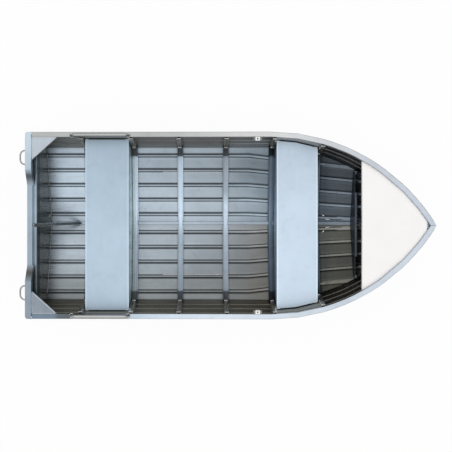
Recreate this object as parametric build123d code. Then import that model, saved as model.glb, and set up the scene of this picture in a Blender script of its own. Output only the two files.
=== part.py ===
from build123d import *
import os
from collections import namedtuple
from math import sqrt

os.makedirs("parts", exist_ok=True)

# An open aluminium dinghy of welded and pressed sheet.
# +X points to the bow, +Y to port and +Z up, in millimetres.
# The hull is drawn with x = 0 at the aft edge of the transom cap and z = 0 at the keel,
# and every piece is then moved so that the origin lies on the waterline.

# Overall size
overall_length = 3076.0
overall_beam = 1406.0
stern_depth = 485.0
sheer_rise = 75.0
float_x = 1350.0
draft = 70.0

# Hull lines, where a back is measured aft from the bow's tip
shoulder_back = 1230.0
chine_inset = 93.0
chine_height_aft = 95.0
chine_tip_back = 100.0
chine_rise_back = 1900.0
chine_rise_power = 2.2
keel_rise_back = 1400.0
stem_foot_height = 343.0
stem_rake = 0.37
bow_lean_back = 800.0
transom_rake = 0.21
transom_foot = 108.0
shoulder_x = overall_length - shoulder_back
chine_half_beam = overall_beam / 2 - chine_inset
chine_tip_x = overall_length - chine_tip_back
chine_rise_start = overall_length - chine_rise_back
keel_rise_start = overall_length - keel_rise_back
bow_lean_start = overall_length - bow_lean_back
stem_foot = chine_tip_x - stem_rake * stem_foot_height

# Where each swage in the bottom runs out, counted from the keel
swage_end_backs = (624.0, 476.0, 476.0, 476.0, 776.0)
swage_fade = 60.0
swage_ends = tuple(overall_length - back for back in swage_end_backs)

# Where the hull is cut into ruled strips, measured along the keel
stern_lean_end = 380.0
middle_cut_backs = (1626.0, 1376.0, shoulder_back, 1026.0)
bow_cut_backs = (360.0, 290.0, 250.0)
tip_station_back = 205.0
stem_close = 7.0
run_outs = sorted({foot for end in swage_ends for foot in (end - swage_fade, end)})
middle_cuts = [overall_length - back for back in middle_cut_backs]
bow_cuts = [overall_length - back for back in bow_cut_backs]
ribbed_stations = (transom_foot, stern_lean_end, *middle_cuts, *run_outs)
plain_stations = (run_outs[-1], *bow_cuts, stem_foot - stem_close)
tip_station = overall_length - tip_station_back

# Sheet and joints
sheet = 2.0
weld_gap = 0.3
chine_gap = 0.7
edge_land = 3.0

# Swages pressed into the bottom, measured from the keel at the stern
swage_first = 61.0
swage_pitch = 119.5
swage_base = 14.5
swage_crown = 7.5
swage_height = 8.0
swage_squeeze = 0.45

# How the swages draw together towards the bow
swage_draw_first = 34.0
swage_draw_step = 13.0
swage_draw_back = 1376.0
swage_draw_run = 800.0

# Lines pressed into the sides, as shares of the side's height
side_lines = (0.3, 0.55, 0.8)
side_line_base = 9.0
side_line_crown = 4.0
side_line_height = 4.0

# Keel, stem and chine extrusions
keel_half_width = 12.0
keel_depth = 20.0
keelson_height = 6.0
stem_half_width = 15.0
stem_front = 8.0
stem_back = 30.0
chine_leg = 26.0
chine_wall = 3.0
chine_lip = 12.0
chine_leg_share = 0.7

# Gunwale extrusion
gunwale_width = 40.0
gunwale_overhang = 18.0
gunwale_wall = 3.0
gunwale_outer_skirt = 32.0
gunwale_inner_skirt = 12.0
gunwale_chamfer = 3.0

# Transom
transom_sheet = 3.0
cap_depth_high = 49.0
cap_depth_low = 40.0
cap_wall = 3.0
cap_skirt = 24.0
cap_corner = 20.0
cap_aft = -(transom_sheet + 2 * weld_gap + cap_wall)
motor_cut_drop = 40.0
motor_cut_slope = 116.0
stern_shoulder = 285.0
motor_cut_half = overall_beam / 2 - stern_shoulder - motor_cut_slope
shelf_reach = 57.0
shelf_depth = 60.0
shelf_sheet = 3.0

# Stern knees, handles, rails and rowlocks
knee_side = 190.0
knee_aft = 170.0
knee_fold = 18.0
knee_sheet = 3.0
knee_fold_run = 4.2
handle_rod = 12.0
handle_reach = 64.0
handle_span = 117.0
handle_inset = 190.0
handle_below_sheer = 45.0
handle_bend = 38.0
handle_pad = 30.0
handle_pad_wall = 3.0
rail_tube = 30.0
rail_start = 335.0
rail_end = 793.0
rail_height = 55.0
rail_inboard = 5.0
rail_bend = 38.0
rowlock_before_seat = 154.0
rowlock_length = 64.0
rowlock_width = 26.0
rowlock_height = 32.0
rowlock_bore = 13.0
rowlock_corner = 6.5

# Seats
seat_height = 370.0
seat_sheet = 3.0
seat_edge = 40.0
seat_end_gap = 6.0
rear_seat_x = (434.0, 769.0)
front_seat_backs = (1174.0, 859.0)
front_seat_x = tuple(overall_length - back for back in front_seat_backs)
rowlock_x = front_seat_x[0] - rowlock_before_seat

# Cross frames, as top-hat sections bent across the bottom and up the sides
frame_width = 32.0
frame_height = 26.0
frame_wall = 3.0
frame_flange = 6.0
frame_knee = 72.0
frame_top_drop = 16.0
limber_width = 36.0
limber_height = 22.0

# One frame stands against each side of a seat, and the open floor between has equal bays
open_bays = 3
frame_reach = frame_width / 2 + frame_flange + weld_gap
bay_start = rear_seat_x[1] + frame_reach
bay_end = front_seat_x[0] - frame_reach
bay = (bay_end - bay_start) / open_bays
bay_frames = [bay_start + i * bay for i in range(open_bays + 1)]
frame_places = [rear_seat_x[0] - frame_reach, *bay_frames, front_seat_x[1] + frame_reach]

# Bow
deck_back = 546.0
deck_sheet = 3.0
deck_crown = 10.0
deck_lip = 28.0
deck_side_gap = 1.2
deck_tip_back = 250.0
web_back = 566.0
web_height = 330.0
web_lip = 17.0
web_lip_half = 247.0
web_end_gap = 15.0
web_tab = 22.0
deck_aft = overall_length - deck_back
deck_tip_station = overall_length - deck_tip_back
web_x = overall_length - web_back

# Transom brace, towing eye and drain
brace_tube = 25.0
brace_wall = 2.5
brace_foot_x = 338.0
brace_clear = 1.0
eye_rod = 10.0
eye_height = 420.0
eye_inner = 36.0
eye_reach = 34.0
eye_bend = 12.0
drain_y = 60.0
drain_height = 42.0
drain_flange = 22.0
drain_bore = 9.5

# A generous size for cutting boxes, and the steps taken to close in on a station
big = 2.0 * overall_length
foot_steps = 8

Station = namedtuple(
    "Station", "foot lean keel chine chine_height sheer sheer_height chine_slant sheer_slant"
)


def bow_radius(half_beam, tip_x):
    """Radius of the plan curve that leaves the straight side and meets the centreline at the tip."""
    run = tip_x - shoulder_x
    return (run**2 + half_beam**2) / (2 * half_beam)


def half_beam_at(x, half_beam, tip_x):
    """Half beam in plan: straight to the shoulder, then one arc to the bow."""
    radius = bow_radius(half_beam, tip_x)
    run = max(0.0, x - shoulder_x)
    return half_beam - radius + sqrt(radius**2 - run**2)


def slant_at(x, half_beam, tip_x):
    """How much longer a thickness measures straight across the boat than square to the side."""
    radius = bow_radius(half_beam, tip_x)
    run = max(0.0, x - shoulder_x)
    return radius / sqrt(radius**2 - run**2)


def lean_at(foot):
    """Forward lean of the cutting plane: aft at the raked transom, forward at the raked stem."""
    if foot < stern_lean_end:
        return -transom_rake * (stern_lean_end - foot) / (stern_lean_end - transom_foot)
    if foot > bow_lean_start:
        return stem_rake * ((foot - bow_lean_start) / (stem_foot - bow_lean_start)) ** 2
    return 0.0


def keel_height_at(foot):
    """Keel line: straight, then a quarter ellipse up the forefoot."""
    share = max(0.0, foot - keel_rise_start) / (stem_foot - keel_rise_start)
    return stem_foot_height * (1 - sqrt(max(0.0, 1 - share**2)))


def chine_height_at(foot):
    share = max(0.0, foot - chine_rise_start) / (stem_foot - chine_rise_start)
    return chine_height_aft + (stem_foot_height - chine_height_aft) * share**chine_rise_power


def sheer_height_at(foot):
    return stern_depth + sheer_rise * (foot / overall_length) ** 2


def station(foot, closed=True):
    """The hull's corner points in the cutting plane that meets the baseline at foot."""
    lean = lean_at(foot)
    chine_height = chine_height_at(foot)
    sheer_height = sheer_height_at(foot)
    chine_x = min(foot + lean * chine_height, chine_tip_x)
    sheer_x = foot + lean * sheer_height
    half = overall_beam / 2
    chine_slant = slant_at(chine_x, chine_half_beam, chine_tip_x)
    sheer_slant = slant_at(sheer_x, half, overall_length)
    chine = half_beam_at(chine_x, chine_half_beam, chine_tip_x)
    sheer = half_beam_at(sheer_x, half, overall_length) - gunwale_overhang * sheer_slant
    if closed:
        least = keel_half_width + 2 * weld_gap + edge_land + sheet * chine_slant
        chine = max(chine, least)
        sheer = max(sheer, least)
    keel = keel_height_at(foot)
    return Station(foot, lean, keel, chine, chine_height, sheer, sheer_height, chine_slant, sheer_slant)


all_stations = ribbed_stations + plain_stations[1:]


def station_near(x):
    """The ruled hull's corner points in the upright plane at x, between two upright stations."""
    for aft, fore in zip(all_stations, all_stations[1:]):
        if aft <= x <= fore:
            share = (x - aft) / (fore - aft)
            return Station(*(a + (b - a) * share for a, b in zip(station(aft), station(fore))))
    raise ValueError("x lies outside the hull")


def in_plane(st, y, z):
    return (st.foot + st.lean * z, y, z)


def side_room(st, height, clear):
    """Half the room between the side sheets at a height, less a clearance square to the side."""
    share = (height - st.chine_height) / (st.sheer_height - st.chine_height)
    return st.chine + (st.sheer - st.chine) * share - (sheet + clear) * st.sheer_slant


def ruled_solid(sections):
    """A solid through closed outlines that all have as many corners."""
    wires = [Wire.make_polygon([Vector(*p) for p in section], close=True) for section in sections]
    return Solid.make_loft(wires, ruled=True)


def port_and_starboard(name, shape):
    """The piece on the port side, and its mirror image."""
    return {name + "_port": shape, name + "_starboard": shape.mirror(Plane.XZ)}


# Sheets with pressed ribs
def ribbed_line(start, end, ribs, side):
    """Points from start to end, with a trapezoid at each rib (centre, base, crown, height)."""
    length = sqrt((end[0] - start[0]) ** 2 + (end[1] - start[1]) ** 2)
    along = ((end[0] - start[0]) / length, (end[1] - start[1]) / length)
    normal = (-along[1] * side, along[0] * side)

    def point(distance, height):
        return tuple(s + a * distance + n * height for s, a, n in zip(start, along, normal))

    points = [start]
    for centre, base, crown, height in ribs:
        points += [
            point(centre - base, 0), point(centre - crown, height),
            point(centre + crown, height), point(centre + base, 0),
        ]
    return points + [end]


def sheet_section(st, line, shift):
    """A sheet's outline in its station plane: a line, and the same line shifted by the wall."""
    inner = [(y + shift[0], z + shift[1]) for y, z in line]
    return [in_plane(st, y, z) for y, z in line + inner[::-1]]


def bottom_ends(st):
    """The bottom sheet's inner and outer edges, and its thickness measured upright."""
    inner = keel_half_width + weld_gap
    outer = st.chine - sheet * st.chine_slant - weld_gap
    slope = (st.chine_height - st.keel) / (st.chine - inner)
    upright = sheet * sqrt(1 + slope**2)
    return (inner, st.keel), (outer, st.keel + slope * (outer - inner)), upright


def swages_at(st):
    """Each swage's place, widths and height along the bottom, squeezed flat where it has run out."""
    draw = max(0.0, st.foot - overall_length + swage_draw_back) / swage_draw_run
    inner, outer, upright = bottom_ends(st)
    length = sqrt((outer[0] - inner[0]) ** 2 + (outer[1] - inner[1]) ** 2) - edge_land
    ribs = []
    taken = 0.0
    for i, last in enumerate(swage_ends):
        centre = swage_first + i * swage_pitch - (swage_draw_first + i * swage_draw_step) * draw
        base = swage_base
        if centre + base > length:
            slot = (length - taken) / (len(swage_ends) - i)
            base = min(swage_base, slot * swage_squeeze)
            centre = taken + slot / 2
        crown = base * swage_crown / swage_base
        height = 0.0 if st.foot >= last else swage_height
        ribs.append((centre, base, crown, height))
        taken = centre + base
    return ribs


def bottom_section(foot, ribbed):
    st = station(foot)
    inner, outer, upright = bottom_ends(st)
    ribs = swages_at(st) if ribbed else []
    return sheet_section(st, ribbed_line(inner, outer, ribs, 1), (0, upright))


def bottom_sheet():
    aft = ruled_solid([bottom_section(foot, True) for foot in ribbed_stations])
    fore = ruled_solid([bottom_section(foot, False) for foot in plain_stations])
    return aft + fore


def side_section(foot, ribbed):
    st = station(foot)
    lower = (st.chine, st.chine_height)
    upper = (st.sheer, st.sheer_height)
    length = sqrt((upper[0] - lower[0]) ** 2 + (upper[1] - lower[1]) ** 2)
    height = 0.0 if foot >= ribbed_stations[-1] else side_line_height
    ribs = [(share * length, side_line_base, side_line_crown, height) for share in side_lines]
    line = ribbed_line(lower, upper, ribs if ribbed else [], -1)
    return sheet_section(st, line, (-sheet * st.sheer_slant, 0))


def side_sheet():
    aft = ruled_solid([side_section(foot, True) for foot in ribbed_stations])
    fore = ruled_solid([side_section(foot, False) for foot in plain_stations])
    return aft + fore


def hull_inside(bottom_clear, side_clear, knee=0.0, stations=all_stations):
    """The room inside the sheets, kept clear of them, with the chine corner cut off by the knee."""
    sections = []
    for foot in stations:
        st = station(foot)
        inner, outer, upright = bottom_ends(st)
        lift = upright + bottom_clear
        half = st.chine - (sheet + side_clear) * st.sheer_slant
        top = st.sheer - (sheet + side_clear) * st.sheer_slant
        height = st.sheer_height - st.chine_height
        slope = (st.chine_height - st.keel) / st.chine
        knee_in = min(knee, half / 2)
        low = (half - knee_in, st.keel + slope * (half - knee_in) + lift)
        rise = max(knee_in, lift) + edge_land
        high = (half + (top - half) * rise / height, st.chine_height + rise)
        lip = (top, st.sheer_height)
        side = [low, high, lip]
        outline = [(0.0, st.keel + lift)] + side + [(-y, z) for y, z in side[::-1]]
        sections.append([in_plane(st, y, z) for y, z in outline])
    return ruled_solid(sections)


# Keel, stem and chines
def keel_path():
    """The keel line in x and z, from the transom to the foot of the stem."""
    stations_used = [station(foot) for foot in all_stations]
    last = stations_used[-1]
    end = (last.foot + last.lean * last.chine_height, last.chine_height)
    return [(st.foot + st.lean * st.keel, st.keel) for st in stations_used] + [end]


def offset_path(path, distance):
    """The path moved square to itself, down and forward for a positive distance."""
    moved = []
    for i, point in enumerate(path):
        before = path[max(0, i - 1)]
        after = path[min(len(path) - 1, i + 1)]
        run = (after[0] - before[0], after[1] - before[1])
        length = sqrt(run[0] ** 2 + run[1] ** 2)
        moved.append((point[0] + run[1] / length * distance, point[1] - run[0] / length * distance))
    return moved


def upright_plate(outline, half_width):
    """A plate in the centre plane, from its outline in x and z."""
    face = Plane.XZ * make_face(Polyline(*outline, close=True))
    return extrude(face, half_width, both=True)


def keel():
    path = keel_path()
    outline = offset_path(path, keel_depth) + offset_path(path, -keelson_height)[::-1]
    return upright_plate(outline, keel_half_width)


def stem_path():
    """The line of the stem in x and z, from the keel's end to the sheer."""
    last = station(all_stations[-1])
    foot = (last.foot + last.lean * last.chine_height, last.chine_height + weld_gap)
    return [foot, (last.foot + last.lean * last.sheer_height, last.sheer_height)]


def stem_front_edge():
    """The stem's leading edge, which tapers from the keel's depth to a slimmer head."""
    return [offset_path(stem_path(), keel_depth)[0], offset_path(stem_path(), stem_front)[1]]


def stem_bar():
    """The raked bar that joins the side sheets above the keel, up to the deck."""
    last = station(all_stations[-1])
    top_height = last.sheer_height - gunwale_inner_skirt - deck_crown - deck_sheet - 2 * weld_gap
    front = stem_front_edge()
    back = offset_path(stem_path(), -stem_back)
    bar = upright_plate(front + back[::-1], stem_half_width)
    return bar & (Pos(0, 0, top_height - big / 2) * Box(2 * big, big, big))


def chine_section(foot):
    st = station(foot)
    inner, outer, upright = bottom_ends(st)
    length = sqrt((st.chine - inner[0]) ** 2 + (st.chine_height - inner[1]) ** 2)
    leg = min(chine_leg, chine_leg_share * length)
    down = ((inner[0] - st.chine) / length * leg, (inner[1] - st.chine_height) / length * leg)
    side_run = st.sheer_height - st.chine_height
    up = ((st.sheer - st.chine) / side_run * chine_leg, chine_leg)
    near = (st.chine + weld_gap * st.chine_slant, st.chine_height - chine_gap * upright / sheet)
    wall_out = chine_wall * st.chine_slant
    far = (near[0] + wall_out, near[1] - chine_wall * upright / sheet)
    lip = (far[0] + chine_lip, far[1])
    outline = [
        (near[0] + down[0], near[1] + down[1]), near, (near[0] + up[0], near[1] + up[1]),
        (near[0] + up[0] + wall_out, near[1] + up[1]), (far[0] + chine_wall, near[1] + chine_wall),
        (lip[0], near[1]), lip, far, (near[0] + down[0], near[1] + down[1] - chine_wall * upright / sheet),
    ]
    return [in_plane(st, y, z) for y, z in outline]


def chine():
    return ruled_solid([chine_section(foot) for foot in all_stations])


# Gunwale
def gunwale_section(foot):
    """An open channel that caps the side sheet, with a deep outer skirt and a short inner one."""
    st = station(foot, closed=False)
    outer = gunwale_overhang
    inner = gunwale_overhang - gunwale_width
    under = weld_gap
    top = weld_gap + gunwale_wall
    outline = [
        (inner, -gunwale_inner_skirt), (inner, top - gunwale_chamfer),
        (inner + gunwale_chamfer, top), (outer - gunwale_chamfer, top),
        (outer, top - gunwale_chamfer), (outer, -gunwale_outer_skirt),
        (outer - gunwale_wall, -gunwale_outer_skirt), (outer - gunwale_wall, under),
        (inner + gunwale_wall, under), (inner + gunwale_wall, -gunwale_inner_skirt),
    ]
    return [in_plane(st, st.sheer + y * st.sheer_slant, st.sheer_height + z) for y, z in outline]


def gunwale():
    strip = ruled_solid([gunwale_section(foot) for foot in all_stations + (tip_station,)])
    port_half = Pos(0, (weld_gap + big) / 2, 0) * Box(2 * big, big, big)
    return strip & port_half & ahead_of_cap()


# Transom, drawn in its raked plane: local x across the boat to port, local y up the slope
slope_stretch = sqrt(1 + transom_rake**2)
transom_plane = Plane(
    origin=(transom_foot, 0, 0), x_dir=(0, 1, 0), z_dir=(1 / slope_stretch, 0, transom_rake / slope_stretch)
)


def ahead_of_cap():
    """Everything forward of the transom cap's high parts."""
    front = cap_aft + cap_depth_high + weld_gap
    return extrude(transom_plane.offset(front) * Rectangle(2 * big, 2 * big), 2 * big)


def transom_top():
    """The top edge from the centre to port: low for the motor, sloping up, then high."""
    high = (sheer_height_at(transom_foot) + 2 * weld_gap) * slope_stretch
    low = high - motor_cut_drop
    return [(motor_cut_half, low), (motor_cut_half + motor_cut_slope, high)]


def mirrored_outline(half):
    """A closed outline across the boat from its port half, listed from the bottom up."""
    return half + [(-y, v) for y, v in half[::-1]]


def transom_blank(top_drop):
    st = station(transom_foot)
    (low_y, low_v), (high_y, high_v) = transom_top()
    edge = [
        (keel_half_width, 0.0), (st.chine, st.chine_height * slope_stretch),
        (st.sheer, high_v - top_drop),
        (high_y, high_v - top_drop), (low_y, low_v - top_drop),
    ]
    return make_face(Polyline(*mirrored_outline(edge), close=True))


def drain_place():
    """The centre of the drain's flange, on the transom's outer face."""
    return transom_plane.offset(-transom_sheet - weld_gap) * Pos(drain_y, drain_height)


def transom():
    plate = extrude(transom_plane.offset(-transom_sheet - weld_gap) * transom_blank(weld_gap), transom_sheet)
    return plate - extrude(drain_place() * Circle(drain_bore), transom_sheet)


def cap_strip(y_from, y_to, v_from, v_to, drop):
    """A strip of the cap's face: from the top of its plate down to a drop under the plate."""
    return make_face(Polyline(
        (y_from, v_from - drop), (y_to, v_to - drop), (y_to, v_to + cap_wall),
        (y_from, v_from + cap_wall), close=True,
    ))


def cap_band(y_from, y_to, v_from, v_to, depth):
    """One straight length of the cap: a channel over the transom's edge, open below."""
    skirt = cap_strip(y_from, y_to, v_from, v_to, cap_skirt)
    web = extrude(transom_plane.offset(cap_aft) * cap_strip(y_from, y_to, v_from, v_to, 0), depth)
    aft_skirt = extrude(transom_plane.offset(cap_aft) * skirt, cap_wall)
    room = side_room(station(transom_foot), stern_depth - cap_skirt, 2 * weld_gap)
    inside = Rectangle(2 * room, big)
    fore_skirt = extrude(transom_plane.offset(cap_aft + depth - cap_wall) * (skirt & inside), cap_wall)
    return web + aft_skirt + fore_skirt


def cap_prism(inset):
    """All that lies within the cap's end seen along the transom, with its aft corner rounded."""
    plane = Plane(origin=transom_plane.origin, x_dir=(0, 1, 0), z_dir=transom_plane.y_dir)
    end = overall_beam / 2 - inset
    aft = -cap_aft - inset
    face = make_face(Polyline((0, -big), (end, -big), (end, aft), (0, aft), close=True))
    corner = face.vertices().group_by(Axis.X)[-1].sort_by(Axis.Y)[-1]
    return extrude(plane * fillet(corner, cap_corner - inset), big, both=True)


def cap_end(high_y, high_v):
    """The high length out to the boat's corner, with the skirt carried on round it."""
    end = overall_beam / 2
    band = cap_band(high_y, end, high_v, high_v, cap_depth_high)
    strip = cap_strip(high_y, end, high_v, high_v, cap_skirt)
    block = extrude(transom_plane.offset(cap_aft) * strip, cap_depth_high)
    rim = (block & cap_prism(0)) - cap_prism(cap_wall)
    return (band & cap_prism(0)) + rim


def transom_cap():
    (low_y, low_v), (high_y, high_v) = transom_top()
    slope = cap_band(low_y, high_y, low_v, high_v, cap_depth_high)
    middle = cap_band(-low_y, low_y, low_v, low_v, cap_depth_low)
    side = cap_end(high_y, high_v) + slope
    return middle + side + side.mirror(Plane.XZ)


def low_cap_front():
    """How far forward of the transom plane a piece may start in front of the cap's low length."""
    return cap_aft + cap_depth_low + weld_gap


def shelf_top():
    """The level of the shelf up the transom, close under the skirt of the cap's low length."""
    return transom_top()[0][1] - cap_skirt - weld_gap


def transom_shelf():
    """A folded stiffener across the transom from side to side, cut open in the middle for the brace."""
    centre = Pos(0, shelf_top() - shelf_depth / 2, (weld_gap + shelf_reach) / 2)
    blank = centre * Box(big, shelf_depth, shelf_reach - weld_gap)
    folded = blank - Pos(0, -shelf_sheet, -shelf_sheet) * blank
    cut = Box(brace_tube + 2 * brace_clear, big, big)
    notch = Pos(0, 0, low_cap_front() - brace_clear + big / 2) * cut
    return (transom_plane * (folded - notch)) & bare_room


# Stern fittings
def stern_knee():
    """A flat corner plate under the cap and gunwale, with its free edge folded down."""
    st = station_near(stern_lean_end)
    aft = cap_depth_high + weld_gap
    side = st.sheer - (gunwale_width - gunwale_overhang) - weld_gap
    top = stern_depth - weld_gap
    corners = [(aft, side), (aft + knee_side, side), (aft, side - knee_aft)]
    plate = Pos(0, 0, top - knee_sheet) * extrude(make_face(Polyline(*corners, close=True)), knee_sheet)
    fold = [
        corners[1], corners[2], (corners[2][0], corners[2][1] + knee_fold_run),
        (corners[1][0] - knee_fold_run, corners[1][1]),
    ]
    lip = Pos(0, 0, top - knee_fold) * extrude(make_face(Polyline(*fold, close=True)), knee_fold)
    return (plate + lip) & ahead_of_cap()


def bent_rod(points, bend, diameter):
    """A round rod along straight runs with equal bends."""
    path = FilletPolyline(*points, radius=bend)
    start = Plane(origin=path @ 0, z_dir=path % 0)
    return sweep(start * Circle(diameter / 2), path)


def stern_handle():
    """A fixed lifting handle: a bent rod on two pads, square to the transom's outer face."""
    level = (stern_depth - handle_below_sheer) * slope_stretch
    face = -(transom_sheet + 2 * weld_gap)
    back = face - handle_reach
    middle = overall_beam / 2 - handle_inset
    half_span = (handle_span - handle_rod) / 2
    port, starboard = (middle + half_span, middle - half_span)
    points = [
        (port, level, face), (port, level, back), (starboard, level, back), (starboard, level, face),
    ]
    shape = bent_rod(points, handle_bend, handle_rod)
    pad = Box(handle_pad, handle_pad, handle_pad_wall)
    for y in (port, starboard):
        shape = shape + Pos(y, level, face - handle_pad_wall / 2) * pad
    return transom_plane * shape


def gunwale_top(x):
    """Height of the gunwale's upper face."""
    return station_near(x).sheer_height + weld_gap + gunwale_wall


def grab_rail():
    """A bent tube standing on the gunwale beside the rear seat."""
    st = station_near((rail_start + rail_end) / 2)
    y = st.sheer + gunwale_overhang - gunwale_width / 2 - rail_inboard
    aft = rail_start + rail_tube / 2
    fore = rail_end - rail_tube / 2
    feet = [gunwale_top(x) + weld_gap for x in (aft, fore)]
    tops = [foot + rail_height - rail_tube / 2 for foot in feet]
    points = [(aft, y, feet[0]), (aft, y, tops[0]), (fore, y, tops[1]), (fore, y, feet[1])]
    return bent_rod(points, rail_bend, rail_tube)


def rowlock():
    """A block inside the gunwale with an upright socket for an oar's crutch."""
    st = station_near(rowlock_x)
    inner_skirt = st.sheer + gunwale_overhang - gunwale_width
    y = inner_skirt - weld_gap - rowlock_width / 2
    z = gunwale_top(rowlock_x) - rowlock_height / 2
    block = Pos(rowlock_x, y, z) * Box(rowlock_length, rowlock_width, rowlock_height)
    block = fillet(block.edges().filter_by(Axis.Z), rowlock_corner)
    return block - Pos(rowlock_x, y, z) * Cylinder(rowlock_bore / 2, 2 * rowlock_height)


# Cross frames, in the rooms left inside the sheets by each part of their section
def room_inside(clear, knee=0.0):
    """The room left when everything is kept a clearance away from the sides and the swages."""
    return hull_inside(swage_height + clear, clear, knee)


frame_inner_height = frame_height - frame_wall
bare_room = room_inside(weld_gap)
under_crown = room_inside(weld_gap + frame_inner_height, frame_knee - frame_wall)
over_crown = room_inside(weld_gap + frame_height, frame_knee)
over_flange = room_inside(weld_gap + frame_wall)


def slice_of(room, x, width):
    return room & (Pos(x, 0, 0) * Box(width, big, big))


def cross_frame(x):
    """A top-hat section bent along the bottom, up the chine knees and the sides."""
    crown = slice_of(bare_room, x, frame_width) - over_crown
    hollow = slice_of(bare_room, x, frame_width - 2 * frame_wall) - under_crown
    flanges = slice_of(bare_room, x, frame_width + 2 * frame_flange) - over_flange
    flanges = flanges - Pos(x, 0, 0) * Box(frame_width - 2 * frame_wall, big, big)
    ring = crown - hollow + flanges
    top = sheer_height_at(x) - frame_top_drop
    return ring & (Pos(0, 0, top - big / 2) * Box(big, big, big))


def split_frame(name, x):
    """The floor with its knees and limber notch, and the two side risers, welded at a level cut."""
    ring = cross_frame(x)
    st = station_near(x)
    cut = st.chine_height + frame_knee + frame_height
    limber = Pos(x, 0, st.keel) * Box(2 * frame_reach, limber_width, 2 * limber_height)
    floor = (ring & (Pos(0, 0, cut - big / 2) * Box(big, big, big))) - limber
    risers = ring & (Pos(0, 0, cut + weld_gap + big / 2) * Box(big, big, big))
    return {name + "_floor": floor, name + "_risers": risers}


# Seats
def seat(x_range):
    """A seat top with folded edges, and the two upright panels that close its box."""
    aft, fore = x_range
    middle = (aft + fore) / 2
    room = hull_inside(swage_height + weld_gap, seat_end_gap)
    blank = Box(fore - aft, big, seat_edge)
    hollow = Pos(0, 0, -seat_sheet) * Box(fore - aft - 2 * seat_sheet, big, seat_edge)
    top = (Pos(middle, 0, seat_height - seat_edge / 2) * (blank - hollow)) & room
    below = Pos(0, 0, seat_height - seat_sheet - weld_gap - big / 2) * Box(big, big, big)
    inset = seat_sheet + weld_gap + sheet / 2
    panels = [slice_of(bare_room, x, sheet) & below for x in (aft + inset, fore - inset)]
    return top, Compound([solid for panel in panels for solid in panel.solids()])


# Bow
def deck_section(foot, depth):
    """The crowned deck's outline at a station, down to a depth below its upper face."""
    st = station(foot)
    top = st.sheer_height - gunwale_inner_skirt - weld_gap
    crown = deck_crown * st.sheer / overall_beam * 2
    half = side_room(st, top - crown - depth, deck_side_gap)
    outline = [
        (half, top - crown), (0.0, top), (-half, top - crown),
        (-half, top - crown - depth), (0.0, top - depth), (half, top - crown - depth),
    ]
    return [in_plane(st, y, z) for y, z in outline]


def foot_under(x, height):
    """The station whose cutting plane passes through x at a height, closed in on step by step."""
    foot = x
    for _ in range(foot_steps):
        foot = x - lean_at(foot) * height
    return foot


def foredeck():
    """A crowned plate tucked under the gunwales, with its aft edge folded down."""
    aft_foot = foot_under(deck_aft, sheer_height_at(deck_aft))
    feet = (aft_foot,) + tuple(foot for foot in all_stations if aft_foot < foot <= deck_tip_station)
    plate = ruled_solid([deck_section(foot, deck_sheet) for foot in feet])
    fold = ruled_solid([deck_section(foot, deck_lip) for foot in (aft_foot, aft_foot + deck_sheet)])
    return plate + fold


def bow_web():
    """An upright plate across the foot of the bow, its top folded forward in the middle and at the ends."""
    half = station_near(web_x).chine - web_end_gap
    below = Pos(web_x, 0, web_height / 2) * Box(big, 2 * half, web_height)
    room = hull_inside(swage_height, weld_gap) & below
    plate = slice_of(room, web_x, sheet)
    fold_x = web_x + (web_lip - sheet) / 2
    lip_level = Pos(fold_x, 0, web_height - sheet / 2) * Box(web_lip, big, sheet)
    fold = slice_of(room, fold_x, web_lip) & lip_level
    lip = fold & (Pos(fold_x, 0, web_height) * Box(web_lip, 2 * web_lip_half, big))
    tabs = fold - Pos(fold_x, 0, web_height) * Box(web_lip, 2 * (half - web_tab), big)
    return plate + lip + tabs


def transom_brace():
    """A tube from the front of the cap down to the keel, with its ends cut to fit."""
    front = transom_plane.offset(low_cap_front())
    start = (front * Pos(0, shelf_top())).position
    end = Vector(brace_foot_x, 0, keelson_height + weld_gap)
    run = end - start
    ring = Circle(brace_tube / 2) - Circle(brace_tube / 2 - brace_wall)
    tube = extrude(Plane(origin=(start + end) / 2, z_dir=run) * ring, run.length, both=True)
    above_keel = Pos(0, 0, keelson_height + weld_gap + big / 2) * Box(big, big, big)
    under_cap = Pos(0, 0, transom_top()[0][1] / slope_stretch - big / 2) * Box(big, big, big)
    return tube & above_keel & under_cap & extrude(front * Rectangle(big, big), big)


def towing_eye():
    """A bent rod on the stem that a tow line or winch hooks on."""
    (low_x, low_z), (high_x, high_z) = stem_front_edge()
    lean = (high_x - low_x) / (high_z - low_z)
    centre = low_x + lean * (eye_height - low_z)
    half = (eye_inner + eye_rod) / 2
    back = centre + eye_reach
    points = [
        (centre - lean * half + weld_gap, 0, eye_height - half), (back, 0, eye_height - half),
        (back, 0, eye_height + half), (centre + lean * half + weld_gap, 0, eye_height + half),
    ]
    rod = bent_rod(points, eye_bend, eye_rod)
    return rod - stem_bar()


def drain():
    """A flanged socket through the foot of the transom."""
    ring = Circle(drain_flange) - Circle(drain_bore)
    return extrude(drain_place() * ring, -sheet)


# Assembly
pieces = {}
pieces.update(port_and_starboard("bottom_sheet", bottom_sheet()))
pieces.update(port_and_starboard("side_sheet", side_sheet()))
pieces.update(port_and_starboard("chine", chine()))
pieces.update(port_and_starboard("gunwale", gunwale()))
pieces["keel"] = keel()
pieces["stem_bar"] = stem_bar()
pieces["transom"] = transom()
pieces["transom_cap"] = transom_cap()
pieces["transom_shelf"] = transom_shelf()
pieces["transom_brace"] = transom_brace()
pieces["drain"] = drain()
pieces.update(port_and_starboard("stern_knee", stern_knee()))
pieces.update(port_and_starboard("stern_handle", stern_handle()))
pieces.update(port_and_starboard("grab_rail", grab_rail()))
pieces.update(port_and_starboard("rowlock", rowlock()))
for number, frame_x in enumerate(frame_places, start=1):
    pieces.update(split_frame(f"frame_{number}", frame_x))
pieces["rear_seat_top"], pieces["rear_seat_panels"] = seat(rear_seat_x)
pieces["front_seat_top"], pieces["front_seat_panels"] = seat(front_seat_x)
pieces["foredeck"] = foredeck()
pieces["bow_web"] = bow_web()
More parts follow.
